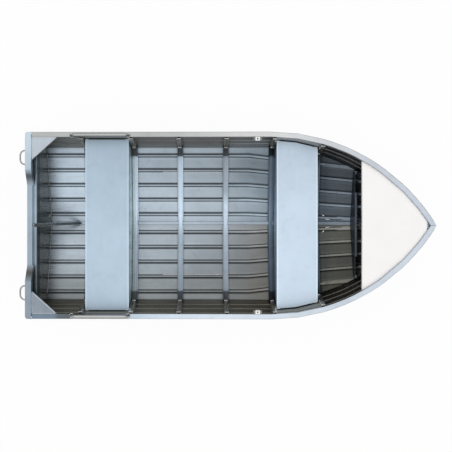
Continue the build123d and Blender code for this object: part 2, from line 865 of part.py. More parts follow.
pieces["towing_eye"] = towing_eye()

to_origin = Pos(-float_x, 0, -draft)
for name, shape in pieces.items():
    export_step(to_origin * shape, f"parts/{name}.step")
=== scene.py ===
"""An open aluminium dinghy seen from above, afloat on a pale studio floor.

Lengths are in metres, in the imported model's frame: +X to the bow, +Y to port, +Z up,
with the origin on the waterline. Tones are written as they show on screen, from 0 to 255,
and levels are shares of a tone.
"""
import math

import bpy
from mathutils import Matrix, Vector


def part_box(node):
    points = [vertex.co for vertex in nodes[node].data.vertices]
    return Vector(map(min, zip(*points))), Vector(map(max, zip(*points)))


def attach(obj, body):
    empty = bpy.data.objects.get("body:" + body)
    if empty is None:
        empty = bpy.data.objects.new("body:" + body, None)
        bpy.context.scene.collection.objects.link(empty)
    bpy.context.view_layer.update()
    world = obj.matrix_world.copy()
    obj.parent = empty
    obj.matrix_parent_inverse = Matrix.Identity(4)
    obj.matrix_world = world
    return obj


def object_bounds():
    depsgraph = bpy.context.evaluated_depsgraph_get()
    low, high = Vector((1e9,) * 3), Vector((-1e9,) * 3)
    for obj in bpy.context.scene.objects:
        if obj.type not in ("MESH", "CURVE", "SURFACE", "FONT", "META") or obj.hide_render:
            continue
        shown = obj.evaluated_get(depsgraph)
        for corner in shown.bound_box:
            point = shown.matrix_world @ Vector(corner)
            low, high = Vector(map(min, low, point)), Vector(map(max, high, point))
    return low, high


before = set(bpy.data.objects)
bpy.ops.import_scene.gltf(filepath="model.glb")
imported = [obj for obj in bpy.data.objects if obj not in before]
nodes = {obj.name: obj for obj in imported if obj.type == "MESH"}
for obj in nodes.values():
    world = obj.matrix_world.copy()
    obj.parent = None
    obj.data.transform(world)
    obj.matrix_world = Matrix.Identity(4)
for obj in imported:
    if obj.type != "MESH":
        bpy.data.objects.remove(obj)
cad_low, cad_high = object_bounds()

SIDES = {"port": 1, "starboard": -1}
FRAME_COUNT = 6

# The curve from a tone on screen to linear light
SCREEN_WHITE = 255
SCREEN_OFFSET = 0.055
SCREEN_POWER = 2.4

# Where a mix node keeps its colours, because several of its sockets share a name
MIX_FIRST = 6
MIX_SECOND = 7
MIX_RESULT = 2

# Camera: straight down on the boat, from a little aft of amidships and to port
CAMERA_PLACE = (0.0254, 0.232, 6.415)
PICTURE_PIXELS = 452.0
FOCAL_PIXELS = 797.9
SENSOR_WIDTH = 36.0
CAMERA_SHIFT = (18.0 / PICTURE_PIXELS, -31.5 / PICTURE_PIXELS)

# Floor at the waterline; its glow is the share of plain white that the camera and reflections see
FLOOR_RADIUS = 60.0
FLOOR_SAMPLES = 72
FLOOR_COLOUR = (0.9, 0.9, 0.9, 1.0)
FLOOR_ROUGHNESS = 0.9
FLOOR_GLOW = 0.95
HOLE_INSET = 0.003

# One wide, soft lamp overhead
LAMP_PLACE = (0.0, 1.0, 9.0)
LAMP_TARGET = (0.2, 0.0, 0.2)
LAMP_SIZE = (9.0, 9.0)
LAMP_POWER = 50.0
LAMP_COLOUR = (0.95, 0.98, 1.0)

# How bright the studio is from the horizon, at 0, to straight up, at 1
SKY = [
    (0.0, (0.24, 0.24, 0.24)), (0.25, (0.28, 0.275, 0.27)), (0.5, (0.80, 0.80, 0.80)),
    (0.75, (1.04, 1.05, 1.07)), (1.0, (1.04, 1.08, 1.12)),
]

# Small rounds on sharp edges
EDGE_ANGLE = math.radians(28.0)
EDGE_SEGMENTS = 2
JOIN_DISTANCE = 0.00002
LIP_ROUND = 0.0006
SHEET_ROUND = 0.001
SECTION_ROUND = 0.0012
BLOCK_ROUND = 0.0015
SEAT_ROUND = 0.002

# Weld beads, and the smooth strips that finish an edge
BEAD_STEP = 0.0026
BEAD_SIDES = 7
BEAD_RIPPLE = 0.22
BEAD_END = 0.35
BEAD_SQUARE_TO = Vector((0.31, 0.17, 1.0))
STRIP_STEP = 0.012
RING_POINTS = 24

# Welds at the head of a frame's riser, and across its joint with the floor
RISER_HEAD_DEPTH = 0.004
RISER_HEAD_HALF = 0.014
RISER_HEAD_RISE = 0.003
RISER_EDGE_HALF = 0.013
RISER_EDGE_TOP_IN = 0.001
RISER_EDGE_TOP_UP = 0.002
RISER_EDGE_RUN_IN = 0.004
RISER_EDGE_RUN_DOWN = 0.016
RISER_HEAD_RADIUS = 0.0028
RISER_JOINT_HALF = 0.015
RISER_JOINT_RISE = 0.004
RISER_JOINT_RADIUS = 0.0032

# Welds and folded edges of the stern knees, whose bright folds are a painted highlight
KNEE_WELD_INSET = 0.001
KNEE_WELD_RADIUS = 0.0022
KNEE_TIP_INSET = 0.012
KNEE_FOLD_INSET = 0.004
KNEE_FOLD_RADIUS = 0.003

# Welds at the corners of the seat tops
SEAT_WELD_INSET = 0.003
SEAT_WELD_LENGTH = 0.024
SEAT_WELD_DEPTH = 0.002
SEAT_WELD_RADIUS = 0.003

# Welds round the feet of the rails and of the brace
TUBE_RADIUS = 0.015
FOOT_WELD_OUT = 0.001
BRACE_FOOT_HALF = (0.0155, 0.0125)
FOOT_WELD_RADIUS = 0.002

# Weld along the corner between the transom and the bottom
TRANSOM_WELD_STATIONS = 60
TRANSOM_WELD_START = 0.02
TRANSOM_WELD_END = 0.56
TRANSOM_WELD_RAY_X = -1.0
TRANSOM_WELD_RAY_Z = 0.3
TRANSOM_WELD_WALL_RISE = 0.008
TRANSOM_WELD_OFFSET = Vector((0.002, 0.0, -0.005))
TRANSOM_WELD_RADIUS = 0.003

# Rolled outer edge of the gunwale, a real round whose darker tone paints the shade along the edge
ROLL_RADIUS = 0.0045
ROLL_SINK = 0.0022
ROLL_STATIONS = 90
ROLL_FORE_INSET = 3 * ROLL_RADIUS

# Dark seam where the gunwales meet at the bow
MITRE_LENGTH = 0.055
MITRE_TIP_INSET = 0.004
MITRE_RAY_BACK = 0.03
MITRE_RAY_OUT = 0.002
MITRE_SINK = 0.0012
MITRE_RADIUS = 0.0018

# Where a ray that looks for a surface starts
ABOVE_ALL = 1.0
ABOVE_PIECE = 0.2
BESIDE_ALL = 0.9
EDGE_SEARCH_START = 0.72
EDGE_SEARCH_STEP = 0.001

# Directions of the mill grain, as the scale of its noise along each axis
ALONG = (0.05, 1.0, 1.0)
ACROSS = (1.0, 0.05, 1.0)
UPWARD = (1.0, 1.0, 0.05)
EVEN = (1.0, 1.0, 1.0)

# Marks on bare metal: how fine each is, and the range of its noise that shows
NOISE_ROUGHNESS = 0.6
GRAIN_SCALE, GRAIN_RANGE = 90.0, (0.3, 0.7)
CLOUD_SCALE, CLOUD_RANGE = 3.1, (0.35, 0.65)
SCRATCH_SCALE, SCRATCH_RANGE = 260.0, (0.62, 0.72)
SCRATCH_STRETCH = 0.25
STAIN_SCALE, STAIN_RANGE = 14.0, (0.66, 0.56)
SPECKLE_SCALE, SPECKLE_RANGE = 110.0, (0.4, 0.6)
FEW_OCTAVES, SOME_OCTAVES, MANY_OCTAVES = 2.0, 4.0, 8.0
METAL_BUMP_DEPTH = 0.0004
# Painted shade in inner corners: how far it reaches, its samples, and the range of occlusion over which it
# darkens
CORNER_SHADE_REACH = 0.022
CORNER_SHADE_SAMPLES = 12
CORNER_SHADE_RANGE = (0.68, 0.92)

# Marks on paint and moulded plastic
PAINT_IOR = 1.45
MOTTLE_SCALE, MOTTLE_RANGE = 5.0, (0.35, 0.65)
SCUFF_SCALE, SCUFF_RANGE = 60.0, (0.72, 0.6)
SCUFF_STRETCH = (0.3, 1.0, 1.0)
PEEL_SCALE, PEEL_RANGE = 240.0, (0.3, 0.7)
PEEL_ROUGHNESS = 0.06
PAINT_BUMP = 0.05
PAINT_BUMP_DEPTH = 0.0003

# Bottom sheets: tones from stern to bow, and levels from side to side, near the stern and forward, which
# paint their light and shade: painted shade outboard and towards the bow, and a darker, warmer painted
# reflection to starboard
BOTTOM_TONES = {
    "port": [
        (-1.4, (190, 203, 213)), (-0.4, (180, 191, 200)), (0.1, (180, 191, 199)),
        (0.45, (152, 164, 173)), (0.85, (97, 104, 111)), (1.75, (67, 73, 78)),
    ],
    "starboard": [
        (-1.4, (190, 200, 208)), (-0.4, (184, 193, 200)), (0.1, (166, 173, 178)),
        (0.45, (141, 140, 138)), (0.85, (102, 102, 97)), (1.75, (78, 78, 73)),
    ],
}
BOTTOM_ACROSS_AFT = {
    "port": [(0.0, 0.8), (0.15, 0.95), (0.26, 1.0), (0.37, 0.96), (0.49, 0.84), (0.62, 0.72)],
    "starboard": [
        (-0.62, (0.4, 0.38, 0.35)), (-0.48, (0.52, 0.5, 0.47)), (-0.36, (0.7, 0.69, 0.67)),
        (-0.24, 0.78), (-0.12, 0.8), (0.0, 0.62),
    ],
}
BOTTOM_ACROSS_FORE = {
    "port": [(0.0, 0.82), (0.15, 0.88), (0.26, 0.7), (0.37, 0.57), (0.49, 0.5), (0.62, 0.66)],
    "starboard": [
        (-0.62, (0.54, 0.52, 0.49)), (-0.48, (0.5, 0.48, 0.45)), (-0.36, 0.55),
        (-0.24, 0.6), (-0.12, 0.7), (0.0, 0.86),
    ],
}
ACROSS_CHANGE = (-0.9, 0.3)
BOTTOM_FINISH = {"roughness": (0.24, 0.4), "dirt_and_corner_shade": 0.4}

# Swages of the bottom: their places, how they draw in towards the bow, and levels across each one, which
# paint shade along each swage's edges, darkest outboard, and a highlight on its crown towards the bow
SWAGE_FIRST = 0.0725
SWAGE_PITCH = 0.118
SWAGE_DRAW_START = 0.35
SWAGE_DRAW_RUN = 0.8
SWAGE_DRAW_FIRST = 0.0347
SWAGE_DRAW_STEP = 0.0169
SWAGE_CHANGE = (0.1, 1.1)
SWAGE_AFT_LEVELS = [
    (-0.034, 1.0), (-0.026, 1.1), (-0.020, 1.0), (-0.013, 0.62), (-0.008, 0.55),
    (-0.005, 0.9), (-0.001, 0.9), (0.003, 0.42), (0.017, 0.42), (0.023, 1.0),
]
SWAGE_FORE_LEVELS = [
    (-0.034, 1.0), (-0.026, 1.25), (-0.018, 1.1), (-0.012, 2.4),
    (0.008, 2.9), (0.012, 0.6), (0.019, 0.5), (0.025, 1.0),
]

# Sides, gunwales and keel: tones from stern to bow, which paint light and shade: painted shade towards the
# bow, and painted light and shade that differ from port to starboard
SIDE_TONES = {
    "port": [
        (-1.4, (164, 158, 148)), (0.0, (174, 170, 164)), (0.36, (204, 202, 200)),
        (1.0, (160, 160, 160)), (1.75, (138, 141, 143)),
    ],
    "starboard": [(-1.4, (160, 156, 144)), (0.3, (156, 152, 140)), (1.75, (132, 131, 125))],
}
SIDE_FINISH = {"roughness": (0.26, 0.42), "lines": 0.12, "dirt_and_corner_shade": 0.3}
GUNWALE_TONES = {
    "port": [
        (-1.4, (176, 176, 174)), (-0.2, (178, 177, 175)), (0.45, (204, 202, 199)),
        (1.0, (192, 194, 197)), (1.75, (188, 195, 204)),
    ],
    "starboard": [
        # The dark stretch aft on the starboard gunwale is a painted shadow of the grab rail
        (-1.4, (116, 131, 145)), (-1.14, (118, 132, 145)), (-1.1, (96, 103, 108)),
        (-1.0, (92, 97, 98)), (-0.62, (104, 110, 115)), (-0.56, (176, 188, 198)),
        (-0.3, (202, 211, 220)), (0.3, (206, 214, 222)), (1.0, (194, 201, 208)),
        (1.75, (198, 204, 212)),
    ],
}
GUNWALE_FINISH = {"roughness": (0.3, 0.42), "clouds": 0.05}
KEEL_TONES = [
    (-1.4, (150, 158, 166)), (-0.3, (164, 174, 183)), (0.45, (146, 155, 164)),
    (0.9, (116, 124, 132)), (1.75, (104, 110, 116)),
]
KEEL_FINISH = {"roughness": (0.26, 0.4)}

# Transom cap: painted dark reflections on its slopes, steel grey to port and brown to starboard, with
# painted shade towards its starboard end and painted light towards its port end
CAP_SLOPE_REFLECTION_STEEL = (0.26, 0.27, 0.28)
CAP_SLOPE_REFLECTION_BROWN = (0.26, 0.22, 0.19)
CAP_ACROSS = [
    (-0.71, 0.62), (-0.43, 0.72), (-0.37, CAP_SLOPE_REFLECTION_BROWN), (-0.35, CAP_SLOPE_REFLECTION_BROWN), (-0.29, 0.84),
    (0.31, 0.84), (0.36, CAP_SLOPE_REFLECTION_STEEL), (0.38, CAP_SLOPE_REFLECTION_STEEL), (0.42, 1.1), (0.71, (1.42, 1.35, 1.27)),
]

# Shelf under the cap: where its tone changes, and its tones from the aft edge to the folded front, which is
# dark with painted shade; its levels across paint shade to starboard
SHELF_FRONT = 0.006
SHELF_AFT_RUN = 0.02
SHELF_FRONT_RUN = 0.008
SHELF_TONES = [(150, 160, 168), (168, 179, 187), (176, 187, 195), (100, 101, 100), (92, 92, 90)]
SHELF_ACROSS = [(-0.7, 0.8), (-0.1, 0.82), (0.05, 1.05), (0.7, 1.05)]
SHELF_FINISH = {"roughness": (0.26, 0.4)}

# Frame floors, from the stern: the tone of each, with painted shade on the last two, and its levels of
# painted shade to port and of painted light along its aft edge
FRAME_TONES = [
    (196, 208, 220), (196, 208, 220), (198, 213, 226), (196, 209, 221), (104, 118, 131), (96, 107, 116),
]
FRAME_PORT_SHADE = [1.0, 0.95, 0.95, 0.6, 0.9, 0.9]
FRAME_AFT_LIGHT = [1.0, 1.5, 1.0, 1.0, 1.0, 1.0]

# Every frame floor: a painted highlight on its lip forward, painted shade at its ends, and its levels from
# starboard to port, which paint shade to starboard
FRAME_AFT_RUN = 0.016
FRAME_LIP = 0.006
FRAME_LIP_RUN = 0.002
FRAME_LIP_HIGHLIGHT = 1.3
FRAME_END_SHADE = 0.12
FRAME_STARBOARD_LEVELS = [(-0.53, 0.45), (-0.45, 0.45), (-0.1, 0.62), (0.02, 0.95), (0.14, 1.0)]
FRAME_PORT_SHARES = [(0.26, 1.0), (0.5, 0.9), (0.534, 0.8)]
FRAME_STARBOARD_END = (-0.66, -0.54)
FRAME_PORT_END = (0.538, 0.66)
FRAME_FINISH = {"roughness": (0.28, 0.44)}

# Box seats: the tops' tones, how much painted light brightens the panels, the painted highlights along the
# folded edges, and painted shade to port
SEATS = {"rear_seat": ((179, 195, 208), 1.7), "front_seat": ((199, 212, 224), 1.0)}
SEAT_FOLD = 0.010
SEAT_FOLD_RUN = 0.003
SEAT_FOLD_HIGHLIGHT = 1.16
SEAT_ACROSS = [(-0.65, 1.03), (-0.1, 1.0), (0.65, 0.86)]
SEAT_FINISH = {"roughness": (0.4, 0.52), "clouds": 0.04, "lines": 0.02, "bump": 0.06}

# Bow web: bright tabs at its ends
WEB_ACROSS = [(-0.5, 2.0), (-0.41, 2.0), (-0.4, 1.0), (0.4, 1.0), (0.41, 2.0), (0.5, 2.0)]

# Painted and moulded pieces
DECK_TONE = (255, 251, 248)
DECK_FINISH = {"dirt_and_corner_shade": 0.012, "roughness": 0.5}
# Rowlock blocks: white round the socket, with painted shade towards the ends
ROWLOCK_WHITE_TONE = (246, 246, 242)
ROWLOCK_SHADE_TONE = (122, 121, 116)
ROWLOCK_WHITE_HALF = 0.014
ROWLOCK_SHADE_FROM = 0.02
ROWLOCK_FINISH = {"dirt_and_corner_shade": 0.03, "roughness": 0.4}

# Metals of one tone from stern to bow
TONE_AFT = -1.4
TONE_FORE = 1.75
PLAIN_METALS = {
    "transom_metal": {
        "tone": (128, 127, 124), "grain": UPWARD, "roughness": (0.18, 0.34), "lines": 0.24, "dirt_and_corner_shade": 0.3,
    },
    "cap_metal": {"tone": (178, 193, 205), "grain": ACROSS, "roughness": (0.26, 0.38), "across": CAP_ACROSS},
    "web_metal": {"tone": (112, 120, 130), "grain": ACROSS, "roughness": (0.28, 0.42), "across": WEB_ACROSS},
    # The starboard knee is the port one in a darker tone: painted shade
    "knee_metal_port": {"tone": (183, 190, 197), "grain": ACROSS, "roughness": (0.34, 0.46)},
    "knee_metal_starboard": {"tone": (140, 149, 157), "grain": ACROSS, "roughness": (0.34, 0.46)},
    "extruded_metal": {"tone": (182, 193, 202), "grain": ALONG, "roughness": (0.26, 0.4)},
    "riser_metal": {
        "tone": (190, 186, 174), "grain": UPWARD, "roughness": (0.28, 0.44), "speckle": 0.55, "dirt_and_corner_shade": 0.3,
    },
    "tube_metal": {"tone": (176, 177, 176), "grain": ALONG, "roughness": (0.2, 0.32)},
    "brace_metal": {"tone": (190, 192, 194), "grain": ALONG, "roughness": (0.24, 0.36)},
    "weld_metal": {"tone": (226, 228, 230), "grain": EVEN, "roughness": (0.34, 0.5), "metallic": 0.75},
    "corner_weld_metal": {"tone": (168, 172, 176), "grain": EVEN, "roughness": (0.34, 0.5)},
    "seam_metal": {"tone": (96, 92, 88), "grain": EVEN, "roughness": (0.5, 0.7)},
    # The rolled edge is darker than the gunwale: painted shade along its outer edge
    "roll_metal": {"tone": (150, 151, 153), "grain": ALONG, "roughness": (0.3, 0.42)},
}


# Geometry helpers
def link(obj):
    bpy.context.scene.collection.objects.link(obj)
    return obj


def mesh_object(name, verts, faces):
    mesh = bpy.data.meshes.new(name)
    mesh.from_pydata([tuple(v) for v in verts], [], faces)
    mesh.update()
    return link(bpy.data.objects.new(name, mesh))


def ease_edges(obj, width):
    """Joins the split vertices and gives the sharp edges a small round."""
    weld = obj.modifiers.new("join", "WELD")
    weld.merge_threshold = JOIN_DISTANCE
    bevel = obj.modifiers.new("ease", "BEVEL")
    bevel.width = width
    bevel.segments = EDGE_SEGMENTS
    bevel.limit_method = "ANGLE"
    bevel.angle_limit = EDGE_ANGLE


def hit(node, start, direction):
    """The first point where a ray from start meets a CAD node."""
    found, place, _, _ = nodes[node].ray_cast(Vector(start), Vector(direction).normalized())
    if not found:
        raise ValueError(f"no surface of {node} lies that way from {start}")
    return place


def outer_edge(node, x, side):
    """The outermost point at x that a straight look down on a node meets."""
    y = EDGE_SEARCH_START
    while y > 0:
        found, place, _, _ = nodes[node].ray_cast(Vector((x, side * y, ABOVE_ALL)), Vector((0, 0, -1)))
        if found:
            return place
        y -= EDGE_SEARCH_STEP
    raise ValueError(f"nothing of {node} lies under x {x}")


def outer_and_inner(low, high, side):
    """The y of the outer and of the inner end of a piece's box, on its side of the boat."""
    inner, outer = sorted((abs(low[1]), abs(high[1])))
    return outer * side, inner * side


def resample(path, step):
    """Points a step apart along a path."""
    points = [Vector(path[0])]
    for a, b in zip(path, path[1:]):
        a, b = Vector(a), Vector(b)
        count = max(1, round((b - a).length / step))
        points += [a.lerp(b, i / count) for i in range(1, count + 1)]
    return points


def bead_ring(points, index, radius):
    """The ring of a bead's corners at one of its points."""
    run = points[min(index + 1, len(points) - 1)] - points[max(index - 1, 0)]
    across = run.cross(BEAD_SQUARE_TO).normalized()
    up = across.cross(run).normalized()
    turns = [2 * math.pi * k / BEAD_SIDES for k in range(BEAD_SIDES)]
    return [points[index] + (across * math.cos(t) + up * math.sin(t)) * radius for t in turns]


def add_bead(verts, faces, path, radius, step, ripple):
    """Adds a round string along a path, rippled as a weld is or smooth as a strip is."""
    points = resample(path, step)
    start = len(verts)
    for i in range(len(points)):
        end = BEAD_END if i in (0, len(points) - 1) else 1.0
        verts += bead_ring(points, i, radius * end * (1 + ripple * (i % 2)))
    for i in range(len(points) - 1):
        for k in range(BEAD_SIDES):
            a = start + i * BEAD_SIDES + k
            b = start + i * BEAD_SIDES + (k + 1) % BEAD_SIDES
            faces.append((a, b, b + BEAD_SIDES, a + BEAD_SIDES))
    last = start + (len(points) - 1) * BEAD_SIDES
    faces.append(tuple(start + k for k in range(BEAD_SIDES))[::-1])
    faces.append(tuple(last + k for k in range(BEAD_SIDES)))


def beads(name, paths, radius, surface, step=BEAD_STEP, ripple=BEAD_RIPPLE):
    """One piece of several weld beads."""
    verts, faces = [], []
    for path in paths:
        add_bead(verts, faces, path, radius, step, ripple)
    piece = mesh_object(name, verts, faces)
    piece.data.polygons.foreach_set("use_smooth", [True] * len(faces))
    piece.data.materials.append(surface)
    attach(piece, "root")


def strips(name, paths, radius, surface):
    """One piece of several smooth strips."""
    beads(name, paths, radius, surface, STRIP_STEP, 0.0)


def ring(centre, reach_x, reach_y):
    """A closed level ellipse of points."""
    turns = [2 * math.pi * i / RING_POINTS for i in range(RING_POINTS + 1)]
    return [centre + Vector((reach_x * math.cos(t), reach_y * math.sin(t), 0)) for t in turns]


# Camera and lamp
def make_camera():
    data = bpy.data.cameras.new("camera")
    data.sensor_width = SENSOR_WIDTH
    data.lens = FOCAL_PIXELS / PICTURE_PIXELS * SENSOR_WIDTH
    data.shift_x, data.shift_y = CAMERA_SHIFT
    camera = link(bpy.data.objects.new("camera", data))
    camera.location = CAMERA_PLACE
    bpy.context.scene.camera = camera


def make_lamp():
    data = bpy.data.lights.new("overhead", "AREA")
    data.shape = "RECTANGLE"
    data.size, data.size_y = LAMP_SIZE
    data.energy = LAMP_POWER
    data.color = LAMP_COLOUR
    lamp = link(bpy.data.objects.new("overhead", data))
    lamp.location = LAMP_PLACE
    aim = Vector(LAMP_TARGET) - Vector(LAMP_PLACE)
    lamp.rotation_euler = aim.to_track_quat("-Z", "Y").to_euler()


# Floor
def waterline_cuts(name):
    """Where the triangles of a node cross z = 0, as pairs of points."""
    cuts = []
    mesh = nodes[name].data
    for polygon in mesh.polygons:
        corners = [mesh.vertices[i].co for i in polygon.vertices]
        points = []
        for a, b in zip(corners, corners[1:] + corners[:1]):
            if (a.z < 0) != (b.z < 0):
                points.append(a.lerp(b, a.z / (a.z - b.z)))
        if len(points) == 2:
            cuts.append(points)
    return cuts


def half_breadth(cuts, x):
    """The outermost crossing at x."""
    found = [0.0]
    for a, b in cuts:
        low, high = sorted((a.x, b.x))
        if low <= x <= high and low < high:
            found.append(a.lerp(b, (x - a.x) / (b.x - a.x)).y)
    return max(found)


def floor_hole():
    """The port edge of the hole in which the hull floats, from stern to bow."""
    bottom = waterline_cuts("bottom_sheet_port")
    stern = [point.x for cut in waterline_cuts("transom") for point in cut]
    aft = (min(stern) + max(stern)) / 2
    fore = max(point.x for cut in bottom for point in cut) - HOLE_INSET
    steps = [aft + (fore - aft) * i / FLOOR_SAMPLES for i in range(FLOOR_SAMPLES + 1)]
    found = [half_breadth(bottom, x) for x in steps]
    stern_half = next(half for half in found if half > 0)
    edge = []
    for x, half in zip(steps, found):
        half = half if half > 0 or x > 0 else stern_half
        edge.append((x, max(half - HOLE_INSET, HOLE_INSET)))
    return edge


def make_floor(surface):
    """A wide floor at the waterline, open where the hull floats in it."""
    port = floor_hole()
    rim = port + [(x, -y) for x, y in port[::-1]]
    centre = (port[0][0] + port[-1][0]) / 2
    verts = []
    for x, y in rim:
        bearing = math.atan2(y, x - centre)
        verts.append((x, y, 0.0))
        verts.append((centre + FLOOR_RADIUS * math.cos(bearing), FLOOR_RADIUS * math.sin(bearing), 0.0))
    count = len(rim)
    faces = [(2 * i, 2 * i + 1, 2 * ((i + 1) % count) + 1, 2 * ((i + 1) % count)) for i in range(count)]
    floor = mesh_object("floor", verts, faces)
    floor.data.materials.append(surface)


# Tones and levels
def tone(red, green, blue):
    """A colour written as it shows on screen, as linear light."""
    shares = [(value / SCREEN_WHITE + SCREEN_OFFSET) / (1 + SCREEN_OFFSET) for value in (red, green, blue)]
    return tuple(share ** SCREEN_POWER for share in shares)


def tones(stops):
    """Stops of screen tones, as stops of linear light."""
    return [(where, tone(*colour)) for where, colour in stops]


def levels(stops):
    """Stops of levels, each a number or a colour, as stops of colours."""
    return [(where, (level,) * 3 if isinstance(level, float) else level) for where, level in stops]


def scaled(colour, amount):
    return tuple(min(1.0, c * amount) for c in colour)


# Shader helpers
def shader_tree(name):
    material = bpy.data.materials.new(name)
    material.use_nodes = True
    tree = material.node_tree
    return material, tree, tree.nodes["Principled BSDF"]


def add(tree, kind, **values):
    """A new node with its properties set by name and its inputs by socket name."""
    node = tree.nodes.new(kind)
    for key, value in values.items():
        if key in node.inputs:
            node.inputs[key].default_value = value
        else:
            setattr(node, key, value)
    return node


def maths(tree, operation, *values):
    """The result of a sum on numbers and on the outputs of other nodes."""
    node = add(tree, "ShaderNodeMath", operation=operation)
    for socket, value in zip(node.inputs, values):
        if isinstance(value, float):
            socket.default_value = value
        else:
            tree.links.new(value, socket)
    return node.outputs[0]


def remap(tree, value, low, high, out_low, out_high):
    node = add(tree, "ShaderNodeMapRange")
    node.inputs["From Min"].default_value = low
    node.inputs["From Max"].default_value = high
    node.inputs["To Min"].default_value = out_low
    node.inputs["To Max"].default_value = out_high
    tree.links.new(value, node.inputs["Value"])
    return node.outputs[0]


def mixed(tree, blend, factor, first, second):
    """Two colours mixed by a factor, which is a number or the output of another node."""
    node = add(tree, "ShaderNodeMix", data_type="RGBA", blend_type=blend)
    if isinstance(factor, float):
        node.inputs[0].default_value = factor
    else:
        tree.links.new(factor, node.inputs[0])
    tree.links.new(first, node.inputs[MIX_FIRST])
    tree.links.new(second, node.inputs[MIX_SECOND])
    return node.outputs[MIX_RESULT]


def product(tree, colour, other):
    return mixed(tree, "MULTIPLY", 1.0, colour, other)


def shaded(tree, colour, value, span, amount):
    """The colour made darker and lighter by an amount, as a value runs over its span."""
    return product(tree, colour, remap(tree, value, *span, 1 - amount, 1 + amount))


def coordinate(tree, axis, kind="Object"):
    """A point's place along an axis, in the boat's frame unless another kind is named."""
    place = add(tree, "ShaderNodeTexCoord")
    split = add(tree, "ShaderNodeSeparateXYZ")
    tree.links.new(place.outputs[kind], split.inputs[0])
    return split.outputs[axis]


def streaks(tree, stretch, scale, detail=SOME_OCTAVES):
    """Noise drawn out along one direction, in the object's own coordinates."""
    place = add(tree, "ShaderNodeTexCoord")
    mapping = add(tree, "ShaderNodeMapping", Scale=stretch)
    noise = add(tree, "ShaderNodeTexNoise", Scale=scale, Detail=detail, Roughness=NOISE_ROUGHNESS)
    tree.links.new(place.outputs["Object"], mapping.inputs["Vector"])
    tree.links.new(mapping.outputs[0], noise.inputs["Vector"])
    return noise.outputs["Fac"]


def ramped(tree, value, stops):
    """A colour that changes with a value, with each stop a value and a colour."""
    start, end = stops[0][0], stops[-1][0]
    ramp = add(tree, "ShaderNodeValToRGB")
    elements = ramp.color_ramp.elements
    while len(elements) < len(stops):
        elements.new(1.0)
    for element, (where, colour) in zip(elements, stops):
        element.position = (where - start) / (end - start)
        element.color = (*colour, 1)
    tree.links.new(remap(tree, value, start, end, 0, 1), ramp.inputs["Fac"])
    return ramp.outputs["Color"]


def toned(tree, axis, stops):
    return ramped(tree, coordinate(tree, axis), stops)


def blended(tree, axis, span, first, second):
    """One colour that gives way to another over a span of an axis of the boat."""
    return mixed(tree, "MIX", remap(tree, coordinate(tree, axis), *span, 0, 1), first, second)


def corner_shaded(tree, colour, dirt_and_corner_shade):
    """The colour with painted shade in the inner corners, where the surroundings close in."""
    corner = add(tree, "ShaderNodeAmbientOcclusion", samples=CORNER_SHADE_SAMPLES, Distance=CORNER_SHADE_REACH)
    return product(tree, colour, remap(tree, corner.outputs["AO"], *CORNER_SHADE_RANGE, 1 - dirt_and_corner_shade, 1))


def bumped(tree, shader, value, strength, depth):
    height = add(tree, "ShaderNodeBump", Strength=strength, Distance=depth)
    tree.links.new(value, height.inputs["Height"])
    tree.links.new(height.outputs[0], shader.inputs["Normal"])


# World and floor
def make_world():
    world = bpy.data.worlds.new("studio")
    bpy.context.scene.world = world
    world.use_nodes = True
    tree = world.node_tree
    tree.nodes.clear()
    sky = add(tree, "ShaderNodeBackground", Strength=1.0)
    tree.links.new(ramped(tree, coordinate(tree, "Z", "Generated"), SKY), sky.inputs["Color"])
    output = add(tree, "ShaderNodeOutputWorld")
    tree.links.new(sky.outputs[0], output.inputs["Surface"])


def floor_material():
    """Pale matt floor, which the camera and reflections see nearly as plain white."""
    material, tree, shader = shader_tree("floor_white")
    shader.inputs["Base Color"].default_value = FLOOR_COLOUR
    shader.inputs["Roughness"].default_value = FLOOR_ROUGHNESS
    path = add(tree, "ShaderNodeLightPath")
    seen = path.outputs["Is Camera Ray"]
    for kind in ("Is Glossy Ray", "Is Transmission Ray"):
        seen = maths(tree, "MAXIMUM", seen, path.outputs[kind])
    glow = add(tree, "ShaderNodeEmission", Strength=1.0)
    mix = add(tree, "ShaderNodeMixShader")
    tree.links.new(maths(tree, "MULTIPLY", seen, FLOOR_GLOW), mix.inputs["Fac"])
    tree.links.new(shader.outputs[0], mix.inputs[1])
    tree.links.new(glow.outputs[0], mix.inputs[2])
    tree.links.new(mix.outputs[0], tree.nodes["Material Output"].inputs["Surface"])
    return material


# Bare metal
def worn(tree, colour, fine, grain, clouds, lines):
    """The colour under clouds, mill grain, faint scratches and stains."""
    cloud = streaks(tree, EVEN, CLOUD_SCALE)
    scratch = streaks(tree, tuple(SCRATCH_STRETCH * g for g in grain), SCRATCH_SCALE, FEW_OCTAVES)
    stain = streaks(tree, EVEN, STAIN_SCALE, MANY_OCTAVES)
    colour = shaded(tree, colour, cloud, CLOUD_RANGE, clouds)
    colour = shaded(tree, colour, fine, GRAIN_RANGE, lines)
    colour = shaded(tree, colour, scratch, SCRATCH_RANGE, lines)
    return shaded(tree, colour, stain, STAIN_RANGE, clouds / 2)


